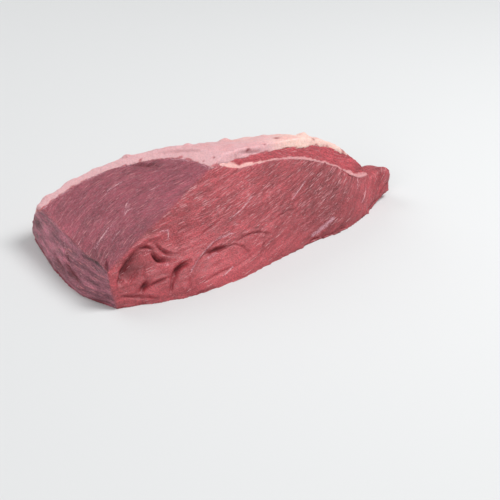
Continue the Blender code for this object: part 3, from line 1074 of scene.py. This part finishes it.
marbling = {
    "perSquareMetre": 27000.0,
    "longest": 0.0060, "shortest": 0.0010,
    "thickest": 0.00026, "thinnest": 0.00009,
    "flatness": 0.45,
    "seed": 7,
}


def scatterSlivers(host, name, material, perSquareMetre):
    p = marbling
    tree, keys = sliverTree()
    piece = bpy.data.objects.new(name, host.data.copy())
    bpy.context.scene.collection.objects.link(piece)
    modifier = piece.modifiers.new("slivers", "NODES")
    modifier.node_group = tree
    modifier[keys["Density"]] = perSquareMetre
    modifier[keys["Smallest"]] = (p["shortest"], p["thinnest"], p["thinnest"] * p["flatness"])
    modifier[keys["Largest"]] = (p["longest"], p["thickest"], p["thickest"] * p["flatness"])
    modifier[keys["Seed"]] = p["seed"]
    modifier[keys["Material"]] = material
    plain(piece)
    print(name, len(piece.data.polygons), "faces")
    return piece


veinCord = {
    "stepsPerLeg": 10,
    "wander": 0.0006, "wanderSize": 0.005,
    "sides": 6,
}


def layVeins(host, name, material):
    tree = treeOf(host.data)
    line = bpy.data.curves.new(name, "CURVE")
    line.dimensions = "3D"
    for order, (path, halfWidth) in enumerate(laid(veins)):
        steps = veinCord["stepsPerLeg"] * (len(path) - 1) + 1
        at = np.linspace(0, len(path) - 1, steps)
        smooth = np.stack([np.interp(at, range(len(path)), path[:, axis]) for axis in range(3)], 1)
        wander = [softNoise(smooth, veinCord["wanderSize"], 40 + order * 3 + axis) for axis in range(3)]
        smooth += veinCord["wander"] * np.stack(wander, 1)
        taper = np.maximum(np.sin(np.linspace(0, math.pi, steps)), 0.15) ** 0.6
        taper *= 0.75 + 0.7 * softNoise(smooth, 0.003, 90 + order)
        spline = line.splines.new("POLY")
        spline.points.add(steps - 1)
        for index, place in enumerate(smooth):
            seat, outward = tree.find_nearest(Vector(place))[:2]
            spline.points[index].co = (*(seat - outward * 0.5 * halfWidth), 1)
            spline.points[index].radius = halfWidth * taper[index]
    piece = bpy.data.objects.new(name, line)
    bpy.context.scene.collection.objects.link(piece)
    veinNodes, keys = veinTree()
    modifier = piece.modifiers.new("veins", "NODES")
    modifier.node_group = veinNodes
    modifier[keys["Sides"]] = veinCord["sides"]
    modifier[keys["Material"]] = material
    shown = piece.evaluated_get(bpy.context.evaluated_depsgraph_get())
    mesh = bpy.data.meshes.new_from_object(shown)
    bpy.data.objects.remove(piece)
    tubes = bpy.data.objects.new(name, mesh)
    bpy.context.scene.collection.objects.link(tubes)
    mesh.shade_smooth()
    print(name, len(mesh.polygons), "faces")
    return tubes


main = workMain()
main.data.materials.append(leanMaterial("leanMeat", leanLook))
cap = workCap()
cap.data.materials.append(leanMaterial("capLean", capLook))
seam = workSeam()
seam.data.materials.append(fatMaterial("seamOfFat", seamLook, 0.2))
cover = workCover()
cover.data.materials.append(fatMaterial("coverOfFat", fatLook, 0.42))

threadFat = threadMaterial("threadFat", (0.78, 0.40, 0.42))
mainSlivers = scatterSlivers(main, "mainMarbling", threadFat, marbling["perSquareMetre"])
capSlivers = scatterSlivers(cap, "capMarbling", threadFat, marbling["perSquareMetre"])
fatVeins = layVeins(main, "fatVeins", threadFat)
for piece in (mainSlivers, capSlivers, fatVeins):
    setPoints(piece, pointsOf(piece))

pieces = {
    main: ("main_muscle", "lean"),
    cap: ("cap_muscle", "cap_lean"),
    seam: ("fat_seam", "seam_fat"),
    cover: ("fat_cover", "cover_fat"),
}
for piece, (node, slot) in pieces.items():
    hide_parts(node)
    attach(piece, "root")
for piece in (mainSlivers, capSlivers, fatVeins):
    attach(piece, "root")
print("joint done")

studio = {
    "floorSize": 6.0,
    "floorColour": (0.70, 0.71, 0.715),
    "skyColour": (1.0, 1.0, 1.0), "skyStrength": 0.33,
    "keyPlace": (0.75, -0.55, 1.45), "keySize": 0.8, "keyPower": 23.5,
    "fillPlace": (-1.5, -0.9, 0.9), "fillSize": 1.0, "fillPower": 11.0,
    "backPlace": (-0.2, 1.3, 1.1), "backSize": 1.0, "backPower": 7.0,
}

camera = {
    "place": (-0.7833, -0.9921, 0.679),
    "downAngle": 29.21,
    "turn": -39.9,
    "lens": 104.73,
    "sensor": 36.0,
}


def areaLight(name, place, size, power):
    light = bpy.data.lights.new(name, "AREA")
    light.size = size
    light.energy = power
    lamp = bpy.data.objects.new(name, light)
    lamp.location = place
    lamp.rotation_euler = (-Vector(place)).to_track_quat("-Z", "Y").to_euler()
    bpy.context.scene.collection.objects.link(lamp)


def layFloor():
    half = studio["floorSize"] / 2
    mesh = bpy.data.meshes.new("floor")
    corners = [(-half, -half, 0), (half, -half, 0), (half, half, 0), (-half, half, 0)]
    mesh.from_pydata(corners, [], [(0, 1, 2, 3)])
    material, tree, shader = startMaterial("floorWhite", {"Roughness": 0.7, "Specular IOR Level": 0.2})
    shader.inputs["Base Color"].default_value = (*studio["floorColour"], 1)
    mesh.materials.append(material)
    floor = bpy.data.objects.new("floor", mesh)
    bpy.context.scene.collection.objects.link(floor)


def lightSky():
    world = bpy.data.worlds.new("sky")
    world.use_nodes = True
    background = world.node_tree.nodes["Background"]
    background.inputs["Color"].default_value = (*studio["skyColour"], 1)
    background.inputs["Strength"].default_value = studio["skyStrength"]
    bpy.context.scene.world = world


def placeCamera():
    view = bpy.data.cameras.new("camera")
    view.lens = camera["lens"]
    view.sensor_width = camera["sensor"]
    eye = bpy.data.objects.new("camera", view)
    eye.location = camera["place"]
    eye.rotation_euler = (math.radians(90 - camera["downAngle"]), 0, math.radians(camera["turn"]))
    bpy.context.scene.collection.objects.link(eye)
    bpy.context.scene.camera = eye


layFloor()
lightSky()
areaLight("keyLight", studio["keyPlace"], studio["keySize"], studio["keyPower"])
areaLight("fillLight", studio["fillPlace"], studio["fillSize"], studio["fillPower"])
areaLight("backLight", studio["backPlace"], studio["backSize"], studio["backPower"])
placeCamera()
bpy.context.scene.view_settings.view_transform = "Standard"
print("studio done")
